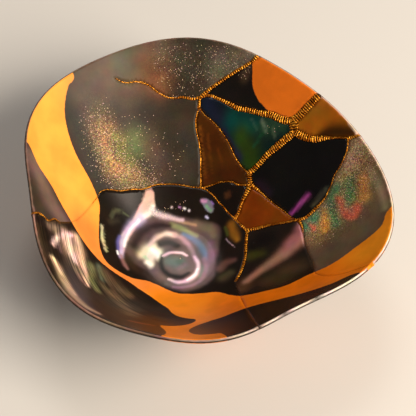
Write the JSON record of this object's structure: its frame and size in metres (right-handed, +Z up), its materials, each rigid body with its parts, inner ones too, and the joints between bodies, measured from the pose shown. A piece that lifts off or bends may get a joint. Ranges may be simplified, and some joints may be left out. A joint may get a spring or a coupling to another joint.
{
  "type": "kintsugi bowl",
  "caption": "Free-form blown lustre glass bowl with a wavy rim and a small ground foot, broken and mended with gold seams and with patches of other glass",
  "frame": {"origin": "middle of the flat ground face under the foot, which rests on the table", "axes": "+Z up out of the bowl, +X to the right and +Y away from the viewer of the picture"},
  "size_m": [0.1748, 0.1756, 0.0622],
  "materials": {
    "dark_lustre_glass": "opaque iridescent glass, gloss",
    "grey_lustre_glass": "opaque lustre glass with a sparkling grain",
    "orange_and_black_glass": "opaque glass, gloss",
    "olive_lustre_glass": "opaque iridescent glass with a fine grain",
    "amber_glass": "dense amber glass, gloss",
    "blue_green_glass": "dense blue-green glass with pearly streaks",
    "brown_glass": "dense brown glass, gloss",
    "black_glass": "black glass, gloss",
    "gold_seam": "lacquer and putty seam dusted with gold, ribbed and grainy"
  },
  "bodies": {
    "root": {"shard_base_and_floor": "dark_lustre_glass", "shard_upper_left": "grey_lustre_glass", "shard_upper_right": "orange_and_black_glass", "shard_lower_right": "dark_lustre_glass", "shard_right_rim": "olive_lustre_glass", "patch_amber_rim": "amber_glass", "patch_blue_green": "blue_green_glass", "patch_brown_tall": "brown_glass", "patch_black_large": "black_glass", "patch_black_small": "black_glass", "patch_amber_triangle": "brown_glass", "gold_seams": "gold_seam"}
  },
  "joints": []
}
